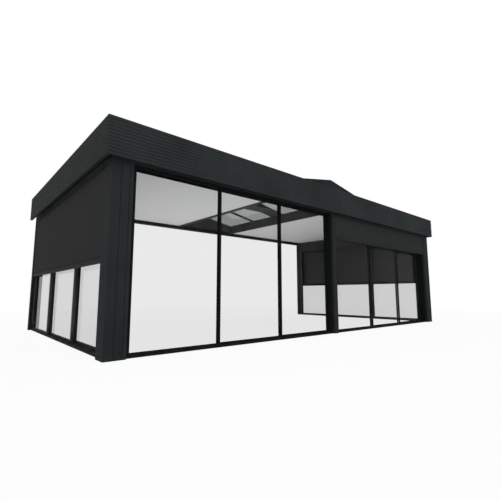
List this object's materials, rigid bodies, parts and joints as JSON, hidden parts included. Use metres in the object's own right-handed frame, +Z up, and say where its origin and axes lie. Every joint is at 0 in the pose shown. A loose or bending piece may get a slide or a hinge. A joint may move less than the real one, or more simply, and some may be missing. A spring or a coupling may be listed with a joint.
{
  "type": "freestanding veranda",
  "caption": "Flat-roofed garden veranda on dark coated posts with ribbed fascia, gable roof lantern, sliding glass doors in front, glazed sides with roller screens and an open rear.",
  "frame": {"origin": "on the ground at the middle of the roof outline", "axes": "+X along the front from left to right, +Y from front to rear, +Z up"},
  "size_m": [8.76, 4.72, 2.9847],
  "materials": {
    "dark_coating": "satin dark grey powder coat",
    "roof_membrane": "matt dark roof membrane",
    "ceiling_white": "matt white",
    "clear_glass": "clear toughened glass",
    "lantern_glass": "grey tinted glass",
    "screen_fabric": "dark woven screen",
    "drain_plastic": "matt black"
  },
  "bodies": {
    "structure": {"door_jambs": "dark_coating", "drain_outlet": "drain_plastic", "front_beam": "dark_coating", "front_fascia": "dark_coating", "front_left_head_track": "dark_coating", "front_left_post": "dark_coating", "front_left_sill": "dark_coating", "front_right_head_track": "dark_coating", "front_right_post": "dark_coating", "front_right_sill": "dark_coating", "front_screen": "screen_fabric", "lantern_bars": "dark_coating", "lantern_collar": "dark_coating", "lantern_front_gable": "dark_coating", "lantern_kerbs": "dark_coating", "lantern_left_glass": "lantern_glass", "lantern_rear_gable": "dark_coating", "lantern_ridge": "dark_coating", "lantern_right_glass": "lantern_glass", "lantern_strip_panels": "dark_coating", "left_beam": "dark_coating", "left_ceiling": "ceiling_white", "left_fascia": "dark_coating", "left_roof_deck": "roof_membrane", "left_screen": "screen_fabric", "left_wall_frame": "dark_coating", "left_wall_glass": "clear_glass", "mid_post": "dark_coating", "rear_beam": "dark_coating", "rear_fascia": "dark_coating", "rear_left_post": "dark_coating", "rear_right_post": "dark_coating", "right_beam": "dark_coating", "right_ceiling": "ceiling_white", "right_fascia": "dark_coating", "right_roof_deck": "roof_membrane", "right_screen": "screen_fabric", "right_wall_frame": "dark_coating", "right_wall_glass": "clear_glass", "roof_end_strips": "roof_membrane", "screen_bottom_bars": "dark_coating", "screen_boxes": "dark_coating", "screen_guides": "dark_coating"},
    "front_left_door_1": {"front_left_door_1_frame": "dark_coating", "front_left_door_1_glass": "clear_glass"},
    "front_left_door_2": {"front_left_door_2_frame": "dark_coating", "front_left_door_2_glass": "clear_glass"},
    "front_left_door_3": {"front_left_door_3_frame": "dark_coating", "front_left_door_3_glass": "clear_glass"},
    "front_right_door_1": {"front_right_door_1_frame": "dark_coating", "front_right_door_1_glass": "clear_glass"},
    "front_right_door_2": {"front_right_door_2_frame": "dark_coating", "front_right_door_2_glass": "clear_glass"},
    "front_right_door_3": {"front_right_door_3_frame": "dark_coating", "front_right_door_3_glass": "clear_glass"}
  },
  "joints": [
    {"name": "front_left_door_1_slide", "type": "slide", "parent": "structure", "child": "front_left_door_1", "axis": [1, 0, 0], "range_m": [0, 2.56933]},
    {"name": "front_left_door_2_slide", "type": "slide", "parent": "structure", "child": "front_left_door_2", "axis": [1, 0, 0], "range_m": [-1.28467, 1.28467]},
    {"name": "front_left_door_3_slide", "type": "slide", "parent": "structure", "child": "front_left_door_3", "axis": [1, 0, 0], "range_m": [-2.56933, 0]},
    {"name": "front_right_door_1_slide", "type": "slide", "parent": "structure", "child": "front_right_door_1", "axis": [1, 0, 0], "range_m": [0, 2.61467]},
    {"name": "front_right_door_2_slide", "type": "slide", "parent": "structure", "child": "front_right_door_2", "axis": [1, 0, 0], "range_m": [-1.30733, 1.30733]},
    {"name": "front_right_door_3_slide", "type": "slide", "parent": "structure", "child": "front_right_door_3", "axis": [1, 0, 0], "range_m": [-2.61467, 0]}
  ]
}
